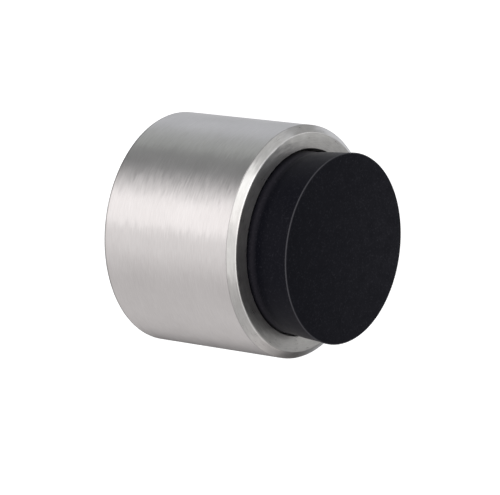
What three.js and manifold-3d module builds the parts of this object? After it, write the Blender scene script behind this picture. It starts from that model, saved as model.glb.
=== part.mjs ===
// A wall-mounted door stop: a satin stainless steel cup with a black rubber buffer in its mouth.
// The cup slides over a hub, which one screw fixes to the wall, and a grub screw locks it there.
//
// Millimetres. The axis of the stop is Y: the wall is the plane Y = 0, the buffer faces -Y and
// +Z is up. Along the axis, every size is a distance out from the wall, so a point at distance d
// has Y = -d, and a negative distance is inside the wall.

import * as THREE from "three";
import { mergeVertices } from "three/addons/utils/BufferGeometryUtils.js";
import Module from "manifold-3d";

const wasm = await Module();
wasm.setup();

// ---- Driving dimensions ----

const CUP_RADIUS = 20;
const CUP_LENGTH = 27.7;
const CUP_WALL = 4;
const CHAMFER_WIDTH = 1.2; // the bright bevel round the mouth, across the axis
const CHAMFER_LENGTH = 1.1; // the same bevel, along the axis
const EDGE_BREAK = 0.15; // a turned edge with its burr taken off
const WEB_THICKNESS = 3; // the partition between the mouth and the rear socket
const SOCKET_DEPTH = 11; // how far the hub's socket reaches in from the wall

const BUFFER_PROUD = 8.4; // how far the rubber stands out of the mouth
const BUFFER_FRONT_RADIUS = 16.2;
const BUFFER_TRAVEL = 1.5; // how far a door presses the rubber in
const BUFFER_EDGE = 0.5; // the radius of its moulded front edge

const HUB_THICKNESS = 8;
const HUB_LEAD_IN = 0.8; // the bevel that guides the cup onto the hub
const HUB_FLAT_DEPTH = 0.6; // the flat under the hub, which the grub screw bears on
const HUB_SHOULDER = 1.5; // the ring left whole between that flat and the wall
const HUB_RELIEF_DEPTH = 0.6; // the recess in the hub's back, so that only two rings touch the wall
const HUB_RELIEF_INNER = 5.5;
const HUB_RELIEF_OUTER = 11.5;

const WALL_SCREW_RADIUS = 2.45; // a 5 x 20 mm countersunk wood screw
const WALL_SCREW_HEAD_RADIUS = 4.9;
const WALL_SCREW_LENGTH = 19.5;
const WALL_SCREW_TIP = 3.5;
const WALL_SCREW_PITCH = 2.2;
const WALL_SCREW_THREAD_DEPTH = 0.7;
const WALL_SCREW_HEAD_TOP = 5.5; // the head's face, out from the wall
const WALL_SCREW_RIM = 0.3; // the straight edge of the head
const WALL_SCREW_RECESS_DEPTH = 2.2; // the cross that the driver turns it by
const WALL_SCREW_RECESS_WIDTH = 1;

const M5_RADIUS = 2.5;
const M5_HEAD_RADIUS = 4.6;
const M5_HEAD_HEIGHT = 2.4;
const M5_KEY = 3; // across the flats of its hexagon socket
const M5_KEY_DEPTH = 1.7;
const M5_GRIP = 5.5; // how far the screw reaches into the insert
const WASHER_THICKNESS = 1.1;
const WASHER_SLOT = 0.7;

const INSERT_RADIUS = 4.5;
const INSERT_LENGTH = 8;
const INSERT_WAIST = 0.7; // the depth of the groove that the rubber grips
const INSERT_CAP = 1.4; // the closed end of its thread

const GRUB_RADIUS = 2; // an M4 socket grub screw
const GRUB_LENGTH = 4.2;
const GRUB_POINT_RADIUS = 1.25;
const GRUB_KEY = 2;
const GRUB_FROM_WALL = 4.6; // the distance from the wall to the grub screw's axis

const GAP = 0.3; // the clearance left between two neighbouring pieces
const ROUND_SIDES = 72; // the facets round the cup and the rubber
const SMALL_SIDES = 24; // the facets round a screw, a washer or a hole
const OVERSHOOT = 2; // how far a cutter runs past the face that it cuts

// ---- Dimensions worked out from them ----

const MOUTH_RADIUS = CUP_RADIUS - CUP_WALL;
const WEB_FRONT = SOCKET_DEPTH + WEB_THICKNESS;
const M5_HOLE_RADIUS = M5_RADIUS + GAP;
const WASHER_FRONT = SOCKET_DEPTH - GAP;
const M5_HEAD_FRONT = WASHER_FRONT - WASHER_THICKNESS - GAP;
const INSERT_BACK = WEB_FRONT + GAP;
const INSERT_FRONT = INSERT_BACK + INSERT_LENGTH;
const BUFFER_BACK = WEB_FRONT + BUFFER_TRAVEL + GAP;
const BUFFER_FRONT = CUP_LENGTH + BUFFER_PROUD;
const HUB_RADIUS = MOUTH_RADIUS - GAP;
const HUB_FLAT = HUB_RADIUS - HUB_FLAT_DEPTH;
const GRUB_POINT = HUB_FLAT + GAP;

// ---- Materials ----

const satinSteel = () =>
  new THREE.MeshStandardMaterial({ color: 0xc9c7c3, roughness: 0.32, metalness: 1 });
const blackRubber = () =>
  new THREE.MeshStandardMaterial({ color: 0x17171a, roughness: 0.8, metalness: 0 });
const turnedAluminium = () =>
  new THREE.MeshStandardMaterial({ color: 0xb4b7ba, roughness: 0.42, metalness: 1 });
const platedSteel = () =>
  new THREE.MeshStandardMaterial({ color: 0xb9bcc2, roughness: 0.3, metalness: 1 });
const brass = () =>
  new THREE.MeshStandardMaterial({ color: 0xb8923f, roughness: 0.35, metalness: 1 });

// ---- Helpers ----

// A solid of revolution about Y, from [radius, distance from the wall] points. They run round the
// section with the metal on their left, and start and end on the axis or at one and the same point.
function turned(section, sides) {
  const points = section.map(([radius, distance]) => new THREE.Vector2(radius, -distance));
  return new THREE.LatheGeometry(points.reverse(), sides);
}

// Points of a section's rounded outer front edge, from its side to its front.
function roundedEdge(outerRadius, front, radius, steps = 4) {
  return Array.from({ length: steps + 1 }, (_, step) => {
    const angle = (Math.PI / 2) * (step / steps);
    return [
      outerRadius - radius * (1 - Math.cos(angle)),
      front - radius * (1 - Math.sin(angle)),
    ];
  });
}

// A geometry as a manifold-3d solid.
function solid(geometry) {
  const bare = geometry.clone();
  bare.deleteAttribute("normal");
  bare.deleteAttribute("uv");
  const merged = mergeVertices(bare, 1e-4);
  const vertProperties = new Float32Array(merged.attributes.position.array);
  const triVerts = new Uint32Array(merged.index.array);
  return new wasm.Manifold(new wasm.Mesh({ numProp: 3, vertProperties, triVerts }));
}

// The geometry that is left of one geometry when others are cut away from it.
function cut(geometry, ...cutters) {
  let left = solid(geometry);
  for (const cutter of cutters) left = left.subtract(solid(cutter));
  const { vertProperties, triVerts } = left.getMesh();
  const result = new THREE.BufferGeometry();
  result.setAttribute("position", new THREE.BufferAttribute(vertProperties, 3));
  result.setIndex(new THREE.BufferAttribute(triVerts, 1));
  return result;
}

// A hexagon key's socket along Y, as wide across its flats as the key, between two heights.
function hexagonCutter(acrossFlats, low, high) {
  const cornerRadius = acrossFlats / 2 / Math.cos(Math.PI / 6);
  const cutter = new THREE.CylinderGeometry(cornerRadius, cornerRadius, high - low, 6);
  return cutter.translate(0, (low + high) / 2, 0);
}

// A straight round hole along Y between two heights.
function holeCutter(radius, low, high) {
  const cutter = new THREE.CylinderGeometry(radius, radius, high - low, SMALL_SIDES);
  return cutter.translate(0, (low + high) / 2, 0);
}

function piece(name, geometry, material) {
  const mesh = new THREE.Mesh(geometry, material);
  mesh.name = name;
  return mesh;
}

// ---- The cover: the cup, and what holds the rubber in it ----

// The cup, turned from bar: a mouth for the rubber and a socket for the hub, with a web between.
function cupBody() {
  const section = [
    [CUP_RADIUS - EDGE_BREAK, 0],
    [CUP_RADIUS, EDGE_BREAK],
    [CUP_RADIUS, CUP_LENGTH - CHAMFER_LENGTH],
    [CUP_RADIUS - CHAMFER_WIDTH, CUP_LENGTH],
    [MOUTH_RADIUS + EDGE_BREAK, CUP_LENGTH],
    [MOUTH_RADIUS, CUP_LENGTH - EDGE_BREAK],
    [MOUTH_RADIUS, WEB_FRONT],
    [M5_HOLE_RADIUS, WEB_FRONT],
    [M5_HOLE_RADIUS, SOCKET_DEPTH],
    [MOUTH_RADIUS, SOCKET_DEPTH],
    [MOUTH_RADIUS, EDGE_BREAK],
    [MOUTH_RADIUS + EDGE_BREAK, 0],
    [CUP_RADIUS - EDGE_BREAK, 0],
  ];
  const grubHole = holeCutter(
    GRUB_RADIUS + GAP, MOUTH_RADIUS - OVERSHOOT, CUP_RADIUS + OVERSHOOT,
  );
  grubHole.rotateX(-Math.PI / 2).translate(0, -GRUB_FROM_WALL, 0);
  return piece("cup_body", cut(turned(section, ROUND_SIDES), grubHole), satinSteel());
}

// The rubber flares a little outside the mouth, past the part that a door can press inside it.
function rubberBuffer() {
  const shankRadius = MOUTH_RADIUS - GAP;
  const pocketRadius = INSERT_RADIUS + GAP;
  const pocketEnd = INSERT_FRONT + BUFFER_TRAVEL + GAP;
  const section = [
    [0, pocketEnd],
    [pocketRadius, pocketEnd],
    [pocketRadius, BUFFER_BACK],
    [shankRadius - BUFFER_EDGE, BUFFER_BACK],
    [shankRadius, BUFFER_BACK + BUFFER_EDGE],
    [shankRadius, CUP_LENGTH + BUFFER_TRAVEL],
    ...roundedEdge(BUFFER_FRONT_RADIUS, BUFFER_FRONT, BUFFER_EDGE),
    [0, BUFFER_FRONT],
  ];
  return piece("rubber_buffer", turned(section, ROUND_SIDES), blackRubber());
}

// The threaded bush moulded into the back of the rubber.
function bufferInsert() {
  const waistRadius = INSERT_RADIUS - INSERT_WAIST;
  const waistBack = INSERT_BACK + INSERT_LENGTH / 3;
  const waistFront = INSERT_FRONT - INSERT_LENGTH / 3;
  const section = [
    [0, INSERT_FRONT - INSERT_CAP],
    [M5_HOLE_RADIUS, INSERT_FRONT - INSERT_CAP],
    [M5_HOLE_RADIUS, INSERT_BACK],
    [INSERT_RADIUS, INSERT_BACK],
    [INSERT_RADIUS, waistBack],
    [waistRadius, waistBack + INSERT_WAIST],
    [waistRadius, waistFront - INSERT_WAIST],
    [INSERT_RADIUS, waistFront],
    [INSERT_RADIUS, INSERT_FRONT],
    [0, INSERT_FRONT],
  ];
  return piece("buffer_insert", turned(section, SMALL_SIDES), brass());
}

// The M5 screw that holds the rubber against the web. Its head faces the wall.
function bufferScrew() {
  const headBack = M5_HEAD_FRONT - M5_HEAD_HEIGHT;
  const end = INSERT_BACK + M5_GRIP;
  const headEdge = M5_HEAD_HEIGHT / 3;
  const section = [
    [0, headBack],
    [M5_HEAD_RADIUS - headEdge, headBack],
    [M5_HEAD_RADIUS, headBack + headEdge],
    [M5_HEAD_RADIUS, M5_HEAD_FRONT],
    [M5_RADIUS, M5_HEAD_FRONT],
    [M5_RADIUS, end - EDGE_BREAK],
    [M5_RADIUS - EDGE_BREAK, end],
    [0, end],
  ];
  const socket = hexagonCutter(M5_KEY, -headBack - M5_KEY_DEPTH, -headBack + OVERSHOOT);
  return piece("buffer_screw", cut(turned(section, SMALL_SIDES), socket), platedSteel());
}

// The split spring washer under that screw's head.
function lockWasher() {
  const outline = new THREE.Shape();
  const halfSlot = WASHER_SLOT / 2 / M5_HEAD_RADIUS;
  outline.absarc(0, 0, M5_HEAD_RADIUS, halfSlot, 2 * Math.PI - halfSlot, false);
  outline.absarc(0, 0, M5_HOLE_RADIUS, 2 * Math.PI - halfSlot, halfSlot, true);
  const ring = new THREE.ExtrudeGeometry(outline, {
    depth: WASHER_THICKNESS,
    bevelEnabled: false,
    curveSegments: SMALL_SIDES,
  });
  ring.rotateX(-Math.PI / 2).translate(0, -WASHER_FRONT, 0);
  return piece("lock_washer", ring, platedSteel());
}

// The M4 grub screw under the cup, made along Y and then turned to point down.
function grubScrew() {
  const pointEdge = GRUB_RADIUS - GRUB_POINT_RADIUS;
  const outerEnd = GRUB_POINT + GRUB_LENGTH;
  const section = [
    [0, -outerEnd],
    [GRUB_RADIUS - EDGE_BREAK, -outerEnd],
    [GRUB_RADIUS, EDGE_BREAK - outerEnd],
    [GRUB_RADIUS, -GRUB_POINT - pointEdge],
    [GRUB_POINT_RADIUS, -GRUB_POINT],
    [0, -GRUB_POINT],
  ];
  const socket = hexagonCutter(GRUB_KEY, outerEnd - GRUB_LENGTH / 2, outerEnd + OVERSHOOT);
  const screw = piece("grub_screw", cut(turned(section, SMALL_SIDES), socket), satinSteel());
  screw.rotation.x = -Math.PI / 2;
  screw.position.y = -GRUB_FROM_WALL;
  return screw;
}

// ---- The wall side: the hub and its screw ----

// The radius of the wall screw's countersunk head, at a distance out from the wall.
function screwConeRadius(distance) {
  return WALL_SCREW_HEAD_RADIUS - (WALL_SCREW_HEAD_TOP - WALL_SCREW_RIM - distance);
}

const CONE_BACK = WALL_SCREW_HEAD_TOP - WALL_SCREW_RIM - WALL_SCREW_HEAD_RADIUS + WALL_SCREW_RADIUS;

// The hub: a disc with a countersunk hole for the wall screw in a wider counterbore.
function mountingHub() {
  const counterboreRadius = WALL_SCREW_HEAD_RADIUS + 4 * GAP;
  const section = [
    [WALL_SCREW_RADIUS + GAP, 0],
    [HUB_RELIEF_INNER, 0],
    [HUB_RELIEF_INNER, HUB_RELIEF_DEPTH],
    [HUB_RELIEF_OUTER, HUB_RELIEF_DEPTH],
    [HUB_RELIEF_OUTER, 0],
    [HUB_RADIUS - EDGE_BREAK, 0],
    [HUB_RADIUS, EDGE_BREAK],
    [HUB_RADIUS, HUB_THICKNESS - HUB_LEAD_IN],
    [HUB_RADIUS - HUB_LEAD_IN, HUB_THICKNESS],
    [counterboreRadius, HUB_THICKNESS],
    [counterboreRadius, WALL_SCREW_HEAD_TOP],
    [screwConeRadius(WALL_SCREW_HEAD_TOP) + GAP, WALL_SCREW_HEAD_TOP],
    [WALL_SCREW_RADIUS + GAP, CONE_BACK],
    [WALL_SCREW_RADIUS + GAP, 0],
  ];
  const flatLength = HUB_THICKNESS - HUB_SHOULDER + OVERSHOOT;
  const flat = new THREE.BoxGeometry(CUP_RADIUS, flatLength, OVERSHOOT);
  flat.translate(0, -HUB_SHOULDER - flatLength / 2, -HUB_FLAT - OVERSHOOT / 2);
  return piece("mounting_hub", cut(turned(section, ROUND_SIDES), flat), turnedAluminium());
}

// The crests and roots of the wall screw's thread, as plain rings from the shank to the tip.
function threadRings(start, end) {
  const rings = Math.floor((start - end) / WALL_SCREW_PITCH);
  const root = WALL_SCREW_RADIUS - WALL_SCREW_THREAD_DEPTH;
  return Array.from({ length: rings }, (_, ring) => {
    const crest = start - (ring + 0.5) * WALL_SCREW_PITCH;
    return [
      [WALL_SCREW_RADIUS, crest],
      [root, crest - WALL_SCREW_PITCH / 3],
      [root, crest - WALL_SCREW_PITCH * 0.6],
    ];
  }).flat();
}

// The cross recess in the wall screw's head, as two crossed slots.
function crossCutters() {
  const height = WALL_SCREW_RECESS_DEPTH + OVERSHOOT;
  const top = -WALL_SCREW_HEAD_TOP - OVERSHOOT;
  return [0, Math.PI / 2].map((turn) => {
    const slot = new THREE.BoxGeometry(WALL_SCREW_HEAD_RADIUS, height, WALL_SCREW_RECESS_WIDTH);
    return slot.rotateY(turn).translate(0, top + height / 2, 0);
  });
}

// The countersunk wood screw that fixes the hub to the wall.
function wallScrew() {
  const threadStart = CONE_BACK - WALL_SCREW_RADIUS;
  const tipStart = WALL_SCREW_HEAD_TOP - WALL_SCREW_LENGTH + WALL_SCREW_TIP;
  const section = [
    [0, WALL_SCREW_HEAD_TOP],
    [WALL_SCREW_HEAD_RADIUS, WALL_SCREW_HEAD_TOP],
    [WALL_SCREW_HEAD_RADIUS, WALL_SCREW_HEAD_TOP - WALL_SCREW_RIM],
    [WALL_SCREW_RADIUS, CONE_BACK],
    ...threadRings(threadStart, tipStart),
    [WALL_SCREW_RADIUS - WALL_SCREW_THREAD_DEPTH, tipStart],
    [0, tipStart - WALL_SCREW_TIP],
  ].reverse();
  const geometry = cut(turned(section, SMALL_SIDES), ...crossCutters());
  return piece("wall_screw", geometry, platedSteel());
}

const cover = new THREE.Group();
cover.add(cupBody(), rubberBuffer(), bufferInsert(), bufferScrew(), lockWasher(), grubScrew());

const wallSide = new THREE.Group();
wallSide.add(mountingHub(), wallScrew());

const doorStop = new THREE.Group();
doorStop.add(cover, wallSide);

export default doorStop;
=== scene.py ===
"""Looks of the wall-mounted door stop: a satin steel cup, its rubber buffer and what they hang on.

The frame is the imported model's: metres, the axis of the stop along Y, the wall in the plane Y = 0, the
rubber facing -Y and +Z up. Sections are drawn in millimetres, as a radius and a distance out from the
wall, so that a point at distance d has Y = -d.
"""

import math

import bmesh
import bpy
from mathutils import Matrix, Vector


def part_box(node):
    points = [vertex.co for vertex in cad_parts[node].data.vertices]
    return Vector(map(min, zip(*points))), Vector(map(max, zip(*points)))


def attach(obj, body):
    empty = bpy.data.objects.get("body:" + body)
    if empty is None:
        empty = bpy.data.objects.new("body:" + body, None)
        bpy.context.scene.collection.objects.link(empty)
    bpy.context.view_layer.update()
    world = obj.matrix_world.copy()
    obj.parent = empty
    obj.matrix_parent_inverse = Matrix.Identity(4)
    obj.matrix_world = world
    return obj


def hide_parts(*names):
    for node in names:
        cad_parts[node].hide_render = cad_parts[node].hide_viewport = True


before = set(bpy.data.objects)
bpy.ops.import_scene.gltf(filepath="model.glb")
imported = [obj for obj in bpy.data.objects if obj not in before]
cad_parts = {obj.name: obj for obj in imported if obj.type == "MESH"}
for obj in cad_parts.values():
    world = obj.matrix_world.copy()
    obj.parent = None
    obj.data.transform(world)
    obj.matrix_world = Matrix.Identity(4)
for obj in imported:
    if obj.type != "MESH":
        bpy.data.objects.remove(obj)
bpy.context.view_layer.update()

MM = 0.001


# ---- Sizes, in millimetres: the outsides come from the frame and the rest is stated here ----

def outside(node):
    """(radius about the axis, distance of the wall end, distance of the room end) of a turned node."""
    low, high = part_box(node)
    return high.x / MM, -high.y / MM, -low.y / MM


CUP_RADIUS, _, CUP_LENGTH = outside("cup_body")
BUFFER_RADIUS, BUFFER_BACK, BUFFER_FRONT = outside("rubber_buffer")
INSERT_RADIUS, INSERT_BACK, INSERT_FRONT = outside("buffer_insert")
M5_HEAD_RADIUS, M5_HEAD_BACK, M5_END = outside("buffer_screw")
WASHER_RADIUS, WASHER_BACK, WASHER_FRONT = outside("lock_washer")
HUB_RADIUS, _, HUB_THICKNESS = outside("mounting_hub")
SCREW_HEAD_RADIUS, SCREW_TIP, SCREW_HEAD_TOP = outside("wall_screw")
GRUB_LOW, GRUB_HIGH = (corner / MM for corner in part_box("grub_screw"))

GAP = 0.3        # between pieces that touch
EDGE = 0.1       # radius of a sharp edge
SOFT_EDGE = 0.15
FILLET = 0.4     # radius in the cup's inner corners

CUP_WALL = 4
SOCKET_DEPTH = 11
WEB_THICKNESS = 3
CHAMFER_WIDTH = 1.2
CHAMFER_LENGTH = 1.1
CHAMFER_EDGE = 0.3
MOUTH_EDGE = 0.12
LINE_WIDTH = 0.22  # the fine line cut where the bevel starts
LINE_DEPTH = 0.12
LINE_CLEAR = 0.8   # left plain beside the line

BUFFER_TRAVEL = 1.5
BUFFER_DROOP = 0.65  # degrees: the rubber hangs a little low from its insert
BUFFER_HEEL = 0.5    # radius of its back edge
FLARE_CURVE = 0.6    # below 1, so that it flares fastest at the mouth
LIP = 0.1
MOUTH_GAP = 0.42     # round the rubber in the mouth

KNURL_RIDGES = 36
KNURL_DEPTH = 0.18
INSERT_CHAMFER = 0.3
INSERT_FLOOR = 1.4   # solid brass ahead of its bore
INSERT_GROOVE = 0.7

M5_RADIUS = 2.5
M5_HEAD_HEIGHT = 2.4
M5_CROWN = 0.55      # of the head's radius: its flat top
M5_CROWN_EDGE = 0.6
M5_DOME = 0.65       # of the head's height: its domed part
M5_DOME_EDGE = 1.0
M5_POINT = 0.5       # chamfer at its end
M5_PITCH = 0.8
M5_THREAD_DEPTH = 0.45
M5_KEY = 3           # across the flats of its socket
M5_KEY_DEPTH = 1.7

WASHER_SPLIT = math.radians(10)
WASHER_SPRING = 0.08
WASHER_EASE = 0.06   # less than its place on each side

GRUB_PITCH = 0.7
GRUB_THREAD_DEPTH = 0.38
GRUB_CHAMFER = 0.25
GRUB_KEY = 2
GRUB_KEY_DEPTH = 2.1
GRUB_TIP = ((0, 0.25), (0.8, 0.05), (1.1, 0), (1.25, 0.03))  # hollow point: radius, distance from its end
GRUB_CONE = 0.6           # from the point to where its thread is full size
HOLE_THREAD_DEPTH = 0.25
HOLE_COUNTERSINK = 0.2

SCREW_RADIUS = 2.45
SCREW_PITCH = 2.2
SCREW_THREAD_DEPTH = 0.3  # of the radius
SCREW_RIDGE = 2.6         # the higher, the narrower the thread's ridge
SCREW_HEAD_EDGE = 0.3
SCREW_HEAD_BREAK = 0.05
POINT_LENGTH = 3.5
POINT_STEPS = 24
POINT_CURVE = 0.8
CROSS_DEPTH = 2.4
CROSS_TOP = (3.1, 0.62)   # half the length and half the width of a bar of the recess
CROSS_BOTTOM = (0.9, 0.4)

HUB_FLAT_DEPTH = 0.6
HUB_SHOULDER = 1.5        # left whole between the flat and the wall
HUB_CHAMFER = 0.8
HUB_INNER_RING = 5.5      # the hub touches the wall inside this radius
HUB_OUTER_RING = 11.5     # and outside this one
HUB_RELIEF = 0.6
HUB_WELL = 1.2            # clear round the screw's head

MOUTH_RADIUS = CUP_RADIUS - CUP_WALL
BEVEL_START = CUP_LENGTH - CHAMFER_LENGTH
WEB_FRONT = SOCKET_DEPTH + WEB_THICKNESS
SCREW_CONE_TOP = SCREW_HEAD_TOP - SCREW_HEAD_EDGE
SCREW_CONE_BACK = SCREW_CONE_TOP - SCREW_HEAD_RADIUS + SCREW_RADIUS
HUB_FLAT = HUB_RADIUS - HUB_FLAT_DEPTH
GRUB_RADIUS = GRUB_HIGH.x
GRUB_FROM_WALL = -(GRUB_LOW.y + GRUB_HIGH.y) / 2
GRUB_POINT = -GRUB_HIGH.z
GRUB_END = -GRUB_LOW.z
GRUB_PLACE = Matrix.Translation((0, -GRUB_FROM_WALL * MM, 0)) @ Matrix.Rotation(math.pi / 2, 4, "X")

SIDES = 288        # round the cup, the rubber and the hub
SMALL_SIDES = 96   # round a screw
KNURL_SIDES = 6 * KNURL_RIDGES
ARC_STEPS = 5      # along an eased corner
LONG_STEP = 1.5    # between rings along the cup
STEP = 1.0         # between rings along the rubber and the hub
FLARE_STEP = 0.05  # of the flare's length
RUN_OUT = 0.3      # left plain between a row of rings and the corner next to it
THREAD_STEPS = 8   # rings in a turn of a fine thread
WOOD_STEPS = 16    # rings in a turn of the wood screw's thread
CREASE = 32        # degrees: an edge sharper than this stays sharp
OVERSHOOT = 1      # how far a cutter or a thread runs past the end of what it cuts
THREAD_FLANK = 1.25  # above 1, so that a groove has a flat bottom


# ---- Mesh making ----

def eased(section):
    """The section with every corner that states a third number, a radius, rounded to an arc."""
    points = []
    for before, corner, after in zip(section[-1:] + section[:-1], section, section[1:] + section[:1]):
        if len(corner) == 2:
            points.append(corner)
            continue
        here = Vector(corner[:2])
        back, onward = ((Vector(p[:2]) - here).normalized() for p in (before, after))
        half = back.angle(onward) / 2
        centre = here + (back + onward).normalized() * corner[2] / math.sin(half)
        first = here + back * corner[2] / math.tan(half) - centre
        last = here + onward * corner[2] / math.tan(half) - centre
        turn = first.angle_signed(last)
        for step in range(ARC_STEPS + 1):
            arm = Matrix.Rotation(-turn * step / ARC_STEPS, 2) @ first
            points.append(tuple(centre + arm))
    return points


def stepped(start, end, step):
    """Distances from start to end, both included, no further apart than step."""
    count = max(1, math.ceil(abs(end - start) / step))
    return [start + (end - start) * k / count for k in range(count + 1)]


def finished(name, mesh_builder):
    """An object from a bmesh in millimetres, smooth but for its sharp edges."""
    bmesh.ops.recalc_face_normals(mesh_builder, faces=mesh_builder.faces)
    mesh = bpy.data.meshes.new(name)
    mesh_builder.to_mesh(mesh)
    mesh_builder.free()
    mesh.transform(Matrix.Scale(MM, 4))
    mesh.polygons.foreach_set("use_smooth", [True] * len(mesh.polygons))
    mesh.set_sharp_from_angle(angle=math.radians(CREASE))
    piece = bpy.data.objects.new(name, mesh)
    bpy.context.scene.collection.objects.link(piece)
    return piece


def join_rings(builder, ring, following):
    """Faces between two rings of vertices, either of which may be a single point on the axis."""
    count = max(len(ring), len(following))
    if count == 1:
        return
    for k in range(count):
        corners = [ring[k % len(ring)], ring[(k + 1) % len(ring)]]
        corners += [following[(k + 1) % len(following)], following[k % len(following)]]
        builder.faces.new(list(dict.fromkeys(corners)))


def turned(name, section, sides=SIDES, relief=None):
    """A solid of revolution about Y. relief(radius, distance, angle) may change a point's radius."""
    builder = bmesh.new()
    rings = []
    for radius, distance in section:
        if radius == 0:
            rings.append([builder.verts.new((0, -distance, 0))])
            continue
        ring = []
        for k in range(sides):
            angle = 2 * math.pi * k / sides
            reach = relief(radius, distance, angle) if relief else radius
            ring.append(builder.verts.new((reach * math.cos(angle), -distance, reach * math.sin(angle))))
        rings.append(ring)
    if section[0][0] != 0:
        rings.append(rings[0])
    for ring, following in zip(rings, rings[1:]):
        join_rings(builder, ring, following)
    return finished(name, builder)


def lofted(name, outlines):
    """A closed solid through outlines of equal length, each a list of (x, y, z) points."""
    builder = bmesh.new()
    rings = [[builder.verts.new(point) for point in outline] for outline in outlines]
    for ring, following in zip(rings, rings[1:]):
        join_rings(builder, ring, following)
    builder.faces.new(rings[0])
    builder.faces.new(rings[-1])
    return finished(name, builder)


def carved(piece, *cutters):
    """The piece with the cutters' shapes taken out of it, and the cutters removed."""
    for cutter in cutters:
        step = piece.modifiers.new("cut", "BOOLEAN")
        step.operation = "DIFFERENCE"
        step.solver = "EXACT"
        step.object = cutter
    bpy.context.view_layer.update()
    result = bpy.data.meshes.new_from_object(piece.evaluated_get(bpy.context.evaluated_depsgraph_get()))
    piece.modifiers.clear()
    piece.data = result
    result.set_sharp_from_angle(angle=math.radians(CREASE))
    for cutter in cutters:
        bpy.data.objects.remove(cutter)
    return piece


def thread(pitch, depth, start, end):
    """A relief that cuts a helical thread between two distances, fading in and out over one pitch."""
    def relief(radius, distance, angle):
        if not start < distance < end:
            return radius
        phase = (distance / pitch - angle / (2 * math.pi)) % 1
        valley = min(1, THREAD_FLANK * (1 - abs(2 * phase - 1)))
        fade = min(1, (distance - start) / pitch, (end - distance) / pitch)
        return radius - depth * valley * fade
    return relief


def hexagon(name, key, low, high):
    """A cutter along Y for a socket, as wide across its flats as the key, between two distances."""
    radius = key / 2 / math.cos(math.pi / 6)
    ring = [2 * math.pi * k / 6 for k in range(6)]
    return lofted(name, [
        [(radius * math.cos(a), -d, radius * math.sin(a)) for a in ring] for d in (low, high)
    ])


# ---- Materials ----

# Streaks are laid out by the radius plus this many times Y. It isn't 1, so that a 45 degree bevel that
# faces the wall has streaks too.
STREAK_SLANT = 1.37
QUARTER_TURN = 0.25            # of a full turn: it draws highlights out across the lines
EDGE_PAINT_FROM = -0.9 * CUP_RADIUS  # painted shade and highlights along edges change between these two, across the stop
EDGE_PAINT_TO = 0.1 * CUP_RADIUS

# Rubber colours at the two ends of the dust and painted light mix: darker towards -X, lighter towards +X.
CLEAN_SHADED_RUBBER, DUSTY_LIT_RUBBER = (0.0012, 0.0015, 0.0042), (0.0135, 0.0135, 0.0180)
RIM_WEAR_AND_HIGHLIGHT = (0.050, 0.050, 0.054)
COLLAR_SHEEN = (0.013, 0.012, 0.014)
DUST_SPECK = (0.012, 0.012, 0.014)
COLLAR_PLACE = 0.6  # millimetres out of the mouth
SHADE_BAND_PLACE = 2.2
BAND_REACH = 1.2


def add(tree, kind, inputs=None, **settings):
    """A shader node with its settings and inputs, each input a value or another node's socket."""
    node = tree.nodes.new(kind)
    for key, value in settings.items():
        setattr(node, key, value)
    for socket, value in (inputs or {}).items():
        if isinstance(value, bpy.types.NodeSocket):
            tree.links.new(value, node.inputs[socket])
        else:
            node.inputs[socket].default_value = value
    return node


def math_node(tree, operation, *values):
    """The result of a Math node on these values."""
    return add(tree, "ShaderNodeMath", dict(enumerate(values)), operation=operation).outputs[0]


def vector_node(tree, operation, *values, output="Vector", **inputs):
    """An output of a Vector Math node on these values and named inputs."""
    node = add(tree, "ShaderNodeVectorMath", {**dict(enumerate(values)), **inputs}, operation=operation)
    return node.outputs[output]


def new_material(name):
    """A material and its tree, with a Principled shader already joined to its output."""
    material = bpy.data.materials.new(name)
    material.use_nodes = True
    tree = material.node_tree
    tree.nodes.clear()
    shader = add(tree, "ShaderNodeBsdfPrincipled")
    add(tree, "ShaderNodeOutputMaterial", {"Surface": shader.outputs["BSDF"]})
    return material, tree, shader


def position_mm(tree):
    """The point in the object's own axes, in millimetres."""
    point = add(tree, "ShaderNodeTexCoord").outputs["Object"]
    return vector_node(tree, "SCALE", point, Scale=1 / MM)


def streaks(tree, around, across, detail=2.0, offset=0.0):
    """Noise drawn out round the Y axis: 'around' features a radian, 'across' features a millimetre."""
    point = position_mm(tree)
    flat = vector_node(tree, "MULTIPLY", point, (1, 0, 1))
    unit = vector_node(tree, "NORMALIZE", flat)
    radius = vector_node(tree, "LENGTH", flat, output="Value")
    along = add(tree, "ShaderNodeSeparateXYZ", {0: point}).outputs["Y"]
    path = math_node(tree, "MULTIPLY_ADD", along, STREAK_SLANT, radius)
    level = math_node(tree, "MULTIPLY_ADD", path, across, offset)
    lifted = add(tree, "ShaderNodeCombineXYZ", {"Y": level}).outputs[0]
    place = vector_node(tree, "MULTIPLY_ADD", unit, (around, 0, around), lifted)
    noise = add(tree, "ShaderNodeTexNoise", {"Vector": place, "Scale": 1.0, "Detail": detail})
    return noise.outputs[0]


def grain(tree, size, detail=3.0, offset=(0, 0, 0)):
    """Even noise with features of about size millimetres."""
    place = vector_node(tree, "ADD", position_mm(tree), offset)
    noise = add(tree, "ShaderNodeTexNoise", {"Vector": place, "Scale": 1 / size, "Detail": detail})
    return noise.outputs[0]


def spread(tree, value, low, high, start=0.3, end=0.7):
    """A value between start and end, stretched to run from low to high."""
    node = add(tree, "ShaderNodeMapRange", {0: value, 1: start, 2: end, 3: low, 4: high})
    return node.outputs[0]


def band(tree, value, middle, strength, reach):
    """The strength where the value is in the middle of a band, falling to 0 at its edges."""
    apart = math_node(tree, "ABSOLUTE", math_node(tree, "SUBTRACT", value, middle))
    return spread(tree, apart, strength, 0, 0, reach)


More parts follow.
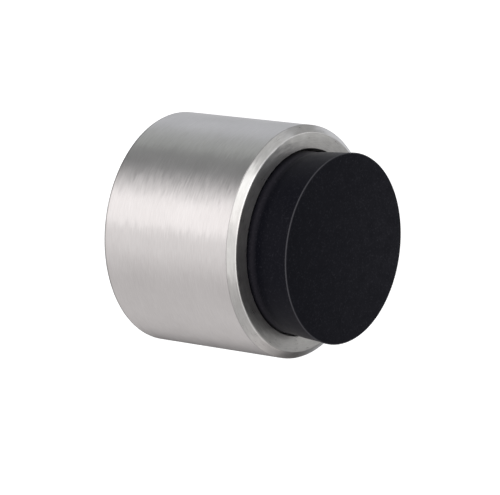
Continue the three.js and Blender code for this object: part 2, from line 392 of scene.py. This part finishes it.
def edge_mask(tree, radius, distance, full, end):
    """1 within full mm of a round edge about the axis, falling to 0 at end mm from it."""
    point = position_mm(tree)
    reach = vector_node(tree, "LENGTH", vector_node(tree, "MULTIPLY", point, (1, 0, 1)), output="Value")
    along = add(tree, "ShaderNodeSeparateXYZ", {0: point}).outputs["Y"]
    out = math_node(tree, "SUBTRACT", reach, radius)
    ahead = math_node(tree, "ADD", along, distance)
    apart = add(tree, "ShaderNodeCombineXYZ", {0: out, 1: ahead}).outputs[0]
    return spread(tree, vector_node(tree, "LENGTH", apart, output="Value"), 1, 0, full, end)


def two_tone(tree, factor, first, second):
    """A colour between two, by a factor from 0 to 1."""
    node = add(tree, "ShaderNodeMix", data_type="RGBA")
    tree.links.new(factor, node.inputs["Factor"])
    node.inputs[6].default_value = (*first, 1)
    node.inputs[7].default_value = (*second, 1)
    return node.outputs[2]


def turned_metal(name, dark, light, roughness, anisotropy, tilt, line_depth, across=6.0, cloud_size=7):
    """Metal with fine lines round the Y axis, which draw its highlights out across them."""
    material, tree, shader = new_material(name)
    fine = streaks(tree, around=12, across=across, detail=3)
    strokes = streaks(tree, around=8, across=across * 0.4, detail=2.5, offset=90)
    cloud = grain(tree, cloud_size, detail=2, offset=(0, 50, 0))
    tangent = add(tree, "ShaderNodeTangent", direction_type="RADIAL", axis="Y").outputs[0]
    normal = add(tree, "ShaderNodeNewGeometry").outputs["Normal"]
    lean = vector_node(tree, "SCALE", tangent, Scale=spread(tree, strokes, -tilt, tilt))
    leaning = vector_node(tree, "NORMALIZE", vector_node(tree, "ADD", normal, lean))
    bump = add(
        tree, "ShaderNodeBump",
        {"Strength": 1.0, "Distance": line_depth * MM, "Height": fine, "Normal": leaning},
    )
    mixed = math_node(tree, "MULTIPLY_ADD", fine, 0.6, math_node(tree, "MULTIPLY", cloud, 0.4))
    colour = two_tone(tree, spread(tree, mixed, 0, 1), dark, light)
    tree.links.new(colour, shader.inputs["Base Color"])
    tree.links.new(spread(tree, mixed, roughness * 0.93, roughness * 1.07), shader.inputs["Roughness"])
    tree.links.new(bump.outputs[0], shader.inputs["Normal"])
    tree.links.new(tangent, shader.inputs["Tangent"])
    shader.inputs["Metallic"].default_value = 1.0
    shader.inputs["Anisotropic"].default_value = anisotropy
    shader.inputs["Anisotropic Rotation"].default_value = QUARTER_TURN
    return material


def paint_edge_light(material, radius, distance, full, end, left, right):
    """Scales a metal's colour along a round edge: below 1 for painted shade, above 1 for a painted
    highlight.

    The painted light is uneven, so the factor runs from 'left', on the -X side, to 'right' just past the
    middle.
    The mask is whole within 'full' mm of the edge and ends 'end' mm from it.
    """
    tree = material.node_tree
    shader = tree.nodes["Principled BSDF"]
    plain = shader.inputs["Base Color"].links[0].from_socket
    mask = edge_mask(tree, radius, distance, full, end)
    across = add(tree, "ShaderNodeSeparateXYZ", {0: position_mm(tree)}).outputs["X"]
    change = spread(tree, across, left - 1, right - 1, EDGE_PAINT_FROM, EDGE_PAINT_TO)
    scale = math_node(tree, "MULTIPLY_ADD", mask, change, 1.0)
    tree.links.new(vector_node(tree, "SCALE", plain, Scale=scale), shader.inputs["Base Color"])


def satin_steel():
    """The barrel's finish: brushed on a belt, which leaves short fine strokes round it."""
    steel = turned_metal(
        "satin_steel", dark=(0.575, 0.565, 0.560), light=(0.690, 0.680, 0.675),
        roughness=0.38, anisotropy=1.0, tilt=0.035, line_depth=0.003,
    )
    # Painted shade: a dark line along the back rim, darkest on the -X side.
    paint_edge_light(steel, CUP_RADIUS, 0, full=0.15, end=0.40, left=0.4, right=0.3)
    # Painted shade along the fine line where the bevel starts.
    paint_edge_light(steel, CUP_RADIUS, BEVEL_START, full=0.12, end=0.25, left=0.85, right=0.5)
    return steel


def faced_steel():
    """The mouth's finish: cut on a lathe, with a painted highlight along its bevel and painted shade round
    the rubber.
    """
    steel = turned_metal(
        "faced_steel", dark=(0.55, 0.54, 0.525), light=(0.71, 0.70, 0.685),
        roughness=0.29, anisotropy=0.85, tilt=0.045, line_depth=0.003, across=5.0, cloud_size=1.8,
    )
    # Painted highlight along the bevel's inner edge, brightest on the -X side.
    paint_edge_light(steel, CUP_RADIUS - CHAMFER_WIDTH, CUP_LENGTH, full=0.12, end=0.27, left=1.5, right=0.85)
    # Painted shade on the mouth's bore, in the gap round the rubber.
    paint_edge_light(steel, MOUTH_RADIUS, CUP_LENGTH - 0.6, full=0.45, end=0.6, left=0.15, right=0.15)
    return steel


def black_rubber():
    """Matt moulded rubber: near black, with dust on it and painted light that grows towards +X, a collar
    of painted sheen at the mouth, a band of painted shade beyond it and a rim that is worn and carries a
    painted highlight.
    """
    material, tree, shader = new_material("black_rubber")
    place = add(tree, "ShaderNodeSeparateXYZ", {0: position_mm(tree)})
    across, along = place.outputs["X"], place.outputs["Y"]
    dust = grain(tree, 0.3, detail=4, offset=(30, 0, 0))
    cloud = grain(tree, 1.6, detail=6)
    mottle = math_node(tree, "MULTIPLY_ADD", cloud, 0.6, math_node(tree, "MULTIPLY", dust, 0.4))
    patches = spread(tree, mottle, 0, 1, 0.4, 0.62)

    # Patches of a thin film of dust, with painted light that grows towards +X, taken down by a band of
    # painted shade a little way out of the mouth.
    dust_and_painted_light = spread(tree, across, 0.15, 0.75, -BUFFER_RADIUS, BUFFER_RADIUS)
    # Painted shade: the band a little way out of the mouth is darker.
    dust_and_painted_light = math_node(tree, "SUBTRACT", dust_and_painted_light, band(tree, along, -CUP_LENGTH - SHADE_BAND_PLACE, 0.3, BAND_REACH))
    dust_and_painted_light = math_node(tree, "MULTIPLY", dust_and_painted_light, math_node(tree, "MULTIPLY_ADD", patches, 0.7, 0.5))
    colour = two_tone(tree, dust_and_painted_light, CLEAN_SHADED_RUBBER, DUSTY_LIT_RUBBER)
    # The rim line is partly wear and partly a painted highlight on the rounded lip.
    rim = edge_mask(tree, BUFFER_RADIUS + LIP, BUFFER_FRONT - LIP, LIP, 2.5 * LIP)
    # Painted sheen: a lighter collar just out of the mouth.
    collar = band(tree, along, -CUP_LENGTH - COLLAR_PLACE, 1, BAND_REACH)
    specks = spread(tree, dust, 0, 1, 0.56, 0.72)
    for mask, light in ((rim, RIM_WEAR_AND_HIGHLIGHT), (collar, COLLAR_SHEEN), (specks, DUST_SPECK)):
        colour = vector_node(tree, "ADD", colour, two_tone(tree, mask, (0, 0, 0), light))

    tree.links.new(colour, shader.inputs["Base Color"])
    tree.links.new(spread(tree, patches, 0.52, 0.64, 0, 1), shader.inputs["Roughness"])
    bump = add(tree, "ShaderNodeBump", {"Strength": 0.6, "Distance": 0.015 * MM, "Height": dust})
    tree.links.new(bump.outputs[0], shader.inputs["Normal"])
    shader.inputs["Specular IOR Level"].default_value = 0.06
    shader.inputs["Sheen Weight"].default_value = 0.09
    shader.inputs["Sheen Roughness"].default_value = 0.3
    return material


def turned_aluminium():
    """The hub's finish: turned, with coarse clear lines."""
    return turned_metal(
        "turned_aluminium", dark=(0.60, 0.61, 0.63), light=(0.72, 0.73, 0.75),
        roughness=0.4, anisotropy=0.8, tilt=0.02, line_depth=0.006, across=4.0,
    )


def plated_steel():
    """Bright zinc plate: slightly blue, softly uneven."""
    material, tree, shader = new_material("plated_steel")
    cloud = grain(tree, 1.4, detail=4)
    colour = two_tone(tree, spread(tree, cloud, 0, 1), (0.50, 0.52, 0.56), (0.66, 0.67, 0.68))
    tree.links.new(colour, shader.inputs["Base Color"])
    tree.links.new(spread(tree, cloud, 0.24, 0.36), shader.inputs["Roughness"])
    pits = grain(tree, 0.12, detail=2, offset=(0, 20, 0))
    bump = add(tree, "ShaderNodeBump", {"Strength": 0.5, "Distance": 0.004 * MM, "Height": pits})
    tree.links.new(bump.outputs[0], shader.inputs["Normal"])
    shader.inputs["Metallic"].default_value = 1.0
    return material


def fastener_steel():
    """The grub screw's finish: plain steel, darker than the cup's."""
    return turned_metal(
        "fastener_steel", dark=(0.40, 0.40, 0.41), light=(0.54, 0.54, 0.54),
        roughness=0.34, anisotropy=0.5, tilt=0.02, line_depth=0.003, across=9.0,
    )


def brass():
    """The insert's finish: turned brass."""
    return turned_metal(
        "brass", dark=(0.62, 0.40, 0.14), light=(0.78, 0.55, 0.24),
        roughness=0.33, anisotropy=0.6, tilt=0.02, line_depth=0.004, across=7.0,
    )


# ---- The pieces ----

def fitted(piece, node, body, material):
    """The piece stands for a CAD node, which it hides: same body, with its material on it."""
    piece.data.materials.clear()
    piece.data.materials.append(material)
    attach(piece, body)
    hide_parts(node)
    return piece


def steel_cup():
    """The cup: outside, bevelled mouth, web and socket, with its tapped hole underneath."""
    section = eased([
        (CUP_RADIUS, 0, SOFT_EDGE),
        *[(CUP_RADIUS, d) for d in stepped(STEP, BEVEL_START - LINE_CLEAR, LONG_STEP)],
        (CUP_RADIUS, BEVEL_START - LINE_WIDTH),
        (CUP_RADIUS - LINE_DEPTH, BEVEL_START - LINE_WIDTH / 2),
        (CUP_RADIUS, BEVEL_START),
        (CUP_RADIUS - CHAMFER_WIDTH, CUP_LENGTH, CHAMFER_EDGE),
        (MOUTH_RADIUS, CUP_LENGTH, MOUTH_EDGE),
        (MOUTH_RADIUS, WEB_FRONT, FILLET),
        (M5_RADIUS + GAP, WEB_FRONT, EDGE),
        (M5_RADIUS + GAP, SOCKET_DEPTH, EDGE),
        (MOUTH_RADIUS, SOCKET_DEPTH, FILLET),
        *[(MOUTH_RADIUS, d) for d in stepped(SOCKET_DEPTH - LONG_STEP, STEP, LONG_STEP)],
        (MOUTH_RADIUS, 0, SOFT_EDGE),
    ])
    cup = carved(turned("steel_cup", section), tapped_hole())
    fitted(cup, "cup_body", "cover", satin_steel())
    cup.data.materials.append(faced_steel())
    for face in cup.data.polygons:
        if -face.center.y / MM > BEVEL_START:
            face.material_index = 1


def tapped_hole():
    """The cutter of the grub screw's hole, whose ridges clear the screw's, with its countersink."""
    radius = GRUB_RADIUS + GAP
    low, high = MOUTH_RADIUS - OVERSHOOT, CUP_RADIUS + OVERSHOOT
    section = [
        (0, low),
        *[(radius, d) for d in stepped(low, CUP_RADIUS - HOLE_COUNTERSINK, GRUB_PITCH / THREAD_STEPS)],
        (radius + (HOLE_COUNTERSINK + OVERSHOOT), high),
        (0, high),
    ]
    relief = thread(GRUB_PITCH, HOLE_THREAD_DEPTH, low - OVERSHOOT, high)
    hole = turned("grub_hole", section, SMALL_SIDES, relief)
    hole.data.transform(GRUB_PLACE)
    return hole


def rubber():
    """The buffer: straight inside the mouth, flaring outside it, with a moulded lip round its face."""
    shank = MOUTH_RADIUS - MOUTH_GAP
    pocket = INSERT_RADIUS + GAP
    pocket_end = INSERT_FRONT + BUFFER_TRAVEL + GAP
    flare_start = CUP_LENGTH + BUFFER_TRAVEL
    flare_end = BUFFER_FRONT - 2 * LIP
    flare = [
        (shank + (BUFFER_RADIUS - shank) * t ** FLARE_CURVE, flare_start + (flare_end - flare_start) * t)
        for t in stepped(0, 1, FLARE_STEP)
    ]
    section = eased([
        (0, pocket_end),
        (pocket, pocket_end, 2 * EDGE),
        (pocket, BUFFER_BACK, 2 * EDGE),
        (shank, BUFFER_BACK, BUFFER_HEEL),
        *[(shank, d) for d in stepped(BUFFER_BACK + STEP, flare_start - RUN_OUT, STEP)],
        *flare,
        (BUFFER_RADIUS + LIP, BUFFER_FRONT - LIP),
        (BUFFER_RADIUS + LIP / 2, BUFFER_FRONT),
        (BUFFER_RADIUS - LIP, BUFFER_FRONT),
        *[(r, BUFFER_FRONT) for r in stepped(BUFFER_RADIUS - STEP, STEP, STEP)],
        (0, BUFFER_FRONT),
    ])
    piece = turned("rubber_block", section)
    pivot = Matrix.Translation((0, -(INSERT_BACK + INSERT_FRONT) / 2 * MM, 0))
    droop = Matrix.Rotation(math.radians(BUFFER_DROOP), 4, "X")
    piece.matrix_world = pivot @ droop @ pivot.inverted()
    return fitted(piece, "rubber_buffer", "buffer", black_rubber())


def brass_insert():
    """The threaded insert: two knurled lands with a groove between them, which the rubber grips."""
    waist = INSERT_RADIUS - INSERT_GROOVE
    third = (INSERT_FRONT - INSERT_BACK) / 3
    bore = M5_RADIUS + GAP
    bore_end = INSERT_FRONT - INSERT_FLOOR

    def knurl(radius, distance, angle):
        on_land = abs(radius - INSERT_RADIUS) < 0.01
        return radius - KNURL_DEPTH * (0.5 + 0.5 * math.cos(KNURL_RIDGES * angle)) if on_land else radius

    section = [
        (0, bore_end),
        *[(bore, d) for d in stepped(bore_end, INSERT_BACK + INSERT_CHAMFER, M5_PITCH / THREAD_STEPS)],
        (bore + INSERT_CHAMFER, INSERT_BACK),
        (INSERT_RADIUS - INSERT_CHAMFER, INSERT_BACK),
        (INSERT_RADIUS, INSERT_BACK + INSERT_CHAMFER),
        (INSERT_RADIUS, INSERT_BACK + third),
        (waist, INSERT_BACK + third + INSERT_GROOVE),
        (waist, INSERT_FRONT - third - INSERT_GROOVE),
        (INSERT_RADIUS, INSERT_FRONT - third),
        (INSERT_RADIUS, INSERT_FRONT - INSERT_CHAMFER),
        (INSERT_RADIUS - INSERT_CHAMFER, INSERT_FRONT),
        (0, INSERT_FRONT),
    ]
    piece = turned("threaded_insert", section, KNURL_SIDES, knurl)
    return fitted(piece, "buffer_insert", "cover", brass())


def button_screw():
    """The M5 screw that holds the insert, with a domed head and a hexagon socket."""
    head_front = M5_HEAD_BACK + M5_HEAD_HEIGHT
    thread_start = head_front + RUN_OUT
    shank = [(M5_RADIUS, d) for d in stepped(thread_start, M5_END - M5_POINT, M5_PITCH / THREAD_STEPS)]
    section = eased([
        (0, M5_HEAD_BACK),
        (M5_HEAD_RADIUS * M5_CROWN, M5_HEAD_BACK, M5_CROWN_EDGE),
        (M5_HEAD_RADIUS, M5_HEAD_BACK + M5_HEAD_HEIGHT * M5_DOME, M5_DOME_EDGE),
        (M5_HEAD_RADIUS, head_front, EDGE),
        (M5_RADIUS, head_front, EDGE),
        *shank,
        (M5_RADIUS - M5_POINT, M5_END),
        (0, M5_END),
    ])
    relief = thread(M5_PITCH, M5_THREAD_DEPTH, thread_start, M5_END + OVERSHOOT)
    screw = turned("button_screw", section, SMALL_SIDES, relief)
    socket = hexagon("key_socket", M5_KEY, M5_HEAD_BACK - OVERSHOOT, M5_HEAD_BACK + M5_KEY_DEPTH)
    return fitted(carved(screw, socket), "buffer_screw", "cover", plated_steel())


def split_washer():
    """A square-section ring, cut through and sprung a little along its axis."""
    inner = M5_RADIUS + GAP
    back, front = WASHER_BACK + WASHER_EASE, WASHER_FRONT - WASHER_EASE
    outlines = []
    for k in range(SMALL_SIDES + 1):
        angle = WASHER_SPLIT / 2 + (2 * math.pi - WASHER_SPLIT) * k / SMALL_SIDES
        spring = WASHER_SPRING * (k / SMALL_SIDES - 0.5)
        corners = [(inner, back), (WASHER_RADIUS, back), (WASHER_RADIUS, front), (inner, front)]
        outlines.append([(r * math.cos(angle), -d + spring, r * math.sin(angle)) for r, d in corners])
    piece = lofted("split_washer", outlines)
    return fitted(piece, "lock_washer", "cover", plated_steel())


def wall_hub():
    """The hub: two rings that touch the wall, a countersunk hole, and the flat for the grub screw."""
    well = SCREW_HEAD_RADIUS + HUB_WELL
    section = eased([
        (SCREW_RADIUS + GAP, 0, EDGE),
        (HUB_INNER_RING, 0, EDGE),
        (HUB_INNER_RING, HUB_RELIEF, SOFT_EDGE),
        (HUB_OUTER_RING, HUB_RELIEF, SOFT_EDGE),
        (HUB_OUTER_RING, 0, EDGE),
        (HUB_RADIUS, 0, SOFT_EDGE),
        *[(HUB_RADIUS, d) for d in stepped(STEP, HUB_THICKNESS - STEP, STEP)],
        (HUB_RADIUS, HUB_THICKNESS - HUB_CHAMFER, EDGE),
        (HUB_RADIUS - HUB_CHAMFER, HUB_THICKNESS, EDGE),
        (well, HUB_THICKNESS, SOFT_EDGE),
        (well, SCREW_HEAD_TOP, 2 * EDGE),
        (SCREW_HEAD_RADIUS + 2 * GAP, SCREW_HEAD_TOP, EDGE / 2),
        (SCREW_RADIUS + GAP, SCREW_CONE_BACK, EDGE),
    ])
    hub = carved(turned("turned_hub", section), flat_cutter())
    return fitted(hub, "mounting_hub", "wall_side", turned_aluminium())


def flat_cutter():
    """A block wider and deeper than the flat that it cuts under the hub."""
    side, near, far = 10, -HUB_FLAT, -HUB_FLAT - 3
    return lofted("flat_cutter", [
        [(-side, y, near), (side, y, near), (side, y, far), (-side, y, far)]
        for y in (-HUB_SHOULDER, -HUB_THICKNESS - OVERSHOOT)
    ])


def wood_screw():
    """The countersunk wood screw, with a coarse thread down to its point and a cross recess."""
    thread_start = SCREW_CONE_BACK - SCREW_RADIUS
    taper_start = SCREW_TIP + POINT_LENGTH
    shank = stepped(SCREW_CONE_BACK - RUN_OUT, taper_start, SCREW_PITCH / WOOD_STEPS)
    point = [
        (SCREW_RADIUS * (1 - k / POINT_STEPS) ** POINT_CURVE,
         taper_start + (SCREW_TIP - taper_start) * k / POINT_STEPS)
        for k in range(1, POINT_STEPS)
    ]
    section = [
        (0, SCREW_HEAD_TOP),
        (SCREW_HEAD_RADIUS - SCREW_HEAD_BREAK, SCREW_HEAD_TOP),
        (SCREW_HEAD_RADIUS, SCREW_HEAD_TOP - SCREW_HEAD_BREAK),
        (SCREW_HEAD_RADIUS, SCREW_CONE_TOP),
        (SCREW_RADIUS, SCREW_CONE_BACK),
        *[(SCREW_RADIUS, d) for d in shank],
        *point,
        (0, SCREW_TIP),
    ]

    def wood_thread(radius, distance, angle):
        if distance > thread_start or radius > SCREW_RADIUS:
            return radius
        phase = (distance / SCREW_PITCH - angle / (2 * math.pi)) % 1
        ridge = max(0, 1 - abs(2 * phase - 1) * SCREW_RIDGE)
        run_in = min(1, (thread_start - distance) / SCREW_PITCH)
        return radius * (1 - SCREW_THREAD_DEPTH * run_in * (1 - ridge))

    screw = turned("wood_screw", section, SMALL_SIDES, wood_thread)
    recess = [cross_bar(angle) for angle in (math.pi / 4, 3 * math.pi / 4)]
    return fitted(carved(screw, *recess), "wall_screw", "wall_side", plated_steel())


def cross_bar(angle):
    """The cutter of one bar of the cross recess, narrower and shorter towards its bottom."""
    outlines = []
    top = (SCREW_HEAD_TOP + OVERSHOOT, *CROSS_TOP)
    bottom = (SCREW_HEAD_TOP - CROSS_DEPTH, *CROSS_BOTTOM)
    turn = Matrix.Rotation(angle, 2)
    for distance, reach, side in (top, bottom):
        corners = [(-reach, -side), (reach, -side), (reach, side), (-reach, side)]
        spots = [turn @ Vector(corner) for corner in corners]
        outlines.append([(x, -distance, z) for x, z in spots])
    return lofted("recess_bar", outlines)


def grub():
    """The grub screw with its hollow point, made along Y and turned to point up at the hub's flat."""
    body_end = GRUB_END - GRUB_CHAMFER
    section = [
        *[(radius, GRUB_POINT + d) for radius, d in GRUB_TIP],
        *[(GRUB_RADIUS, d) for d in stepped(GRUB_POINT + GRUB_CONE, body_end, GRUB_PITCH / THREAD_STEPS)],
        (GRUB_RADIUS - GRUB_CHAMFER, GRUB_END),
        (0, GRUB_END),
    ]
    relief = thread(GRUB_PITCH, GRUB_THREAD_DEPTH, GRUB_POINT, GRUB_END + OVERSHOOT)
    screw = turned("socket_grub_screw", section, SMALL_SIDES, relief)
    carved(screw, hexagon("grub_socket", GRUB_KEY, GRUB_END - GRUB_KEY_DEPTH, GRUB_END + OVERSHOOT))
    screw.matrix_world = GRUB_PLACE
    return fitted(screw, "grub_screw", "grub", fastener_steel())


# ---- Camera, floor and light ----

CAMERA_AZIMUTH = math.radians(-51.9)
CAMERA_ELEVATION = math.radians(9.9)
CAMERA_DISTANCE = 0.566  # metres
CAMERA_AIM = Vector((-4.0, -19.0, -1.25)) * MM
CAMERA_LENS = 239.0  # millimetres

FLOOR_DROP = 0.16  # metres below the stop's axis
FLOOR_SIZE = 40.0  # metres
FLOOR_GREY = 0.85
FLOOR_GLOW = 0.5
BACKDROP = 1.1     # the white that the camera sees past the stop

WARM, COOL, GREEN = (1.03, 0.99, 0.99), (0.97, 0.99, 1.04), (0.98, 1.02, 0.98)

# The stop stands in a ring of long even panels along its axis. Each one has the angles where it starts and
# ends, from the -X side up over the top, its strength and its tint. From one to the next the light changes
# evenly, and the last one leads back to the first.
PANELS = (
    (-140, -135, 0.1, WARM),   # the dark under the table
    (-100, -40, 0.9, WARM),    # side panel, from below
    (-10, 3, 1.3, WARM),       # side panel, level with the stop
    (10, 33, 1.8, WARM),       # strip light, which draws the bright line along the cup
    (65, 80, 0.1, COOL),       # black flag, which draws the dark line above it
    (90, 105, 0.5, GREEN),     # front edge of the ceiling panel
    (115, 190, 0.8, COOL),     # ceiling panel, reaching down behind
)

# Round lamps and dark cards in front of the panels: the way to each one, how many degrees from its middle
# it ends and where it is full, and its strength.
LAMPS = (
    ((-0.6, -0.8, -0.1), 30, 12, 1.2),    # left, for the bevel's left side
    ((-0.25, -0.7, 0.65), 32, 14, 1.9),   # upper left, for the bevel's bright stretch
    ((0.25, -0.5, 0.8), 30, 12, 0.65),    # above, for the bevel's top
    ((0.8, -0.6, -0.2), 30, 12, 0.35),    # dim card where the flat ring mirrors the camera's view
    ((0.8, -0.15, 0.6), 22, 10, 0.3),     # dim card above it
    ((0.8, -0.55, 0.2), 18, 8, 1.2),      # right, for the ring's upper left
    ((-0.1, -0.7, -0.7), 35, 15, 0.55),   # below, for the ring's foot
    ((0.15, -1, -0.05), 30, 16, 0.1),     # dark card in front, for the rubber's face
    ((0, 1, 0), 37, 22, 0.2),             # the wall's side
)


def camera():
    """The camera, looking at its aim from its azimuth and elevation."""
    back = Vector((
        math.sin(CAMERA_AZIMUTH) * math.cos(CAMERA_ELEVATION),
        -math.cos(CAMERA_AZIMUTH) * math.cos(CAMERA_ELEVATION),
        math.sin(CAMERA_ELEVATION),
    ))
    data = bpy.data.cameras.new("camera")
    data.lens = CAMERA_LENS
    eye = bpy.data.objects.new("camera", data)
    eye.location = CAMERA_AIM + back * CAMERA_DISTANCE
    eye.rotation_euler = (-back).to_track_quat("-Z", "Y").to_euler()
    bpy.context.scene.collection.objects.link(eye)
    bpy.context.scene.camera = eye


def pale_floor():
    """A plain pale floor below the stop, which neither shades nor colours it."""
    builder = bmesh.new()
    bmesh.ops.create_grid(builder, x_segments=1, y_segments=1, size=FLOOR_SIZE / 2 / MM)
    floor = finished("floor", builder)
    floor.location.z = -FLOOR_DROP
    floor.visible_glossy = False
    floor.visible_diffuse = False
    floor.visible_shadow = False
    material, _, shader = new_material("pale_floor")
    shader.inputs["Base Color"].default_value = (FLOOR_GREY, FLOOR_GREY, FLOOR_GREY, 1)
    shader.inputs["Roughness"].default_value = 1.0
    shader.inputs["Specular IOR Level"].default_value = 0.0
    shader.inputs["Emission Color"].default_value = (1, 1, 1, 1)
    shader.inputs["Emission Strength"].default_value = FLOOR_GLOW
    floor.data.materials.append(material)


def light_tent():
    """Soft light from all round, with white behind the stop where the camera looks past it."""
    world = bpy.data.worlds.new("light_tent")
    bpy.context.scene.world = world
    world.use_nodes = True
    tree = world.node_tree
    tree.nodes.clear()
    direction = add(tree, "ShaderNodeTexCoord").outputs["Generated"]
    colour = tent_panels(tree, direction)
    for middle, end, full, strength in LAMPS:
        colour = lamp(tree, colour, direction, Vector(middle).normalized(), end, full, strength)
    tent = add(tree, "ShaderNodeBackground", {"Color": colour})
    white = add(tree, "ShaderNodeBackground", {"Color": (BACKDROP, BACKDROP, BACKDROP, 1)})
    seen = add(tree, "ShaderNodeLightPath").outputs["Is Camera Ray"]
    mixed = add(tree, "ShaderNodeMixShader", {0: seen, 1: tent.outputs[0], 2: white.outputs[0]})
    add(tree, "ShaderNodeOutputWorld", {"Surface": mixed.outputs[0]})


def tent_panels(tree, direction):
    """The panels' colour in a direction, by its angle round the Y axis on from the first panel's start."""
    parts = add(tree, "ShaderNodeSeparateXYZ", {0: direction})
    away = math_node(tree, "MULTIPLY", parts.outputs["X"], -1.0)
    angle = math_node(tree, "ARCTAN2", parts.outputs["Z"], away)
    first_start, _, *first_light = PANELS[0]
    turns = math_node(tree, "MULTIPLY_ADD", angle, 1 / (2 * math.pi), -first_start / 360)
    ramp = add(tree, "ShaderNodeValToRGB", {0: math_node(tree, "FRACT", turns)})
    edges = [(edge, *light) for start, end, *light in PANELS for edge in (start, end)]
    edges.append((first_start + 360, *first_light))
    stops = ramp.color_ramp.elements
    while len(stops) < len(edges):
        stops.new(0.5)
    for stop, (degrees, strength, tint) in zip(stops, edges):
        stop.position = (degrees - first_start) / 360
        stop.color = (*(strength * channel for channel in tint), 1)
    return ramp.outputs[0]


def lamp(tree, colour, direction, middle, end, full, strength):
    """The colour, changed to an even grey of this strength within the lamp's round outline."""
    closeness = vector_node(tree, "DOT_PRODUCT", direction, tuple(middle), output="Value")
    inside = add(
        tree, "ShaderNodeMapRange",
        {0: closeness, 1: math.cos(math.radians(end)), 2: math.cos(math.radians(full))},
        interpolation_type="SMOOTHSTEP",
    )
    blend = add(tree, "ShaderNodeMix", {"Factor": inside.outputs[0]}, data_type="RGBA")
    tree.links.new(colour, blend.inputs[6])
    blend.inputs[7].default_value = (strength, strength, strength, 1)
    return blend.outputs[2]


camera()
pale_floor()
light_tent()
bpy.context.scene.view_settings.view_transform = "Standard"

steel_cup()
rubber()
brass_insert()
button_screw()
split_washer()
wall_hub()
wood_screw()
grub()
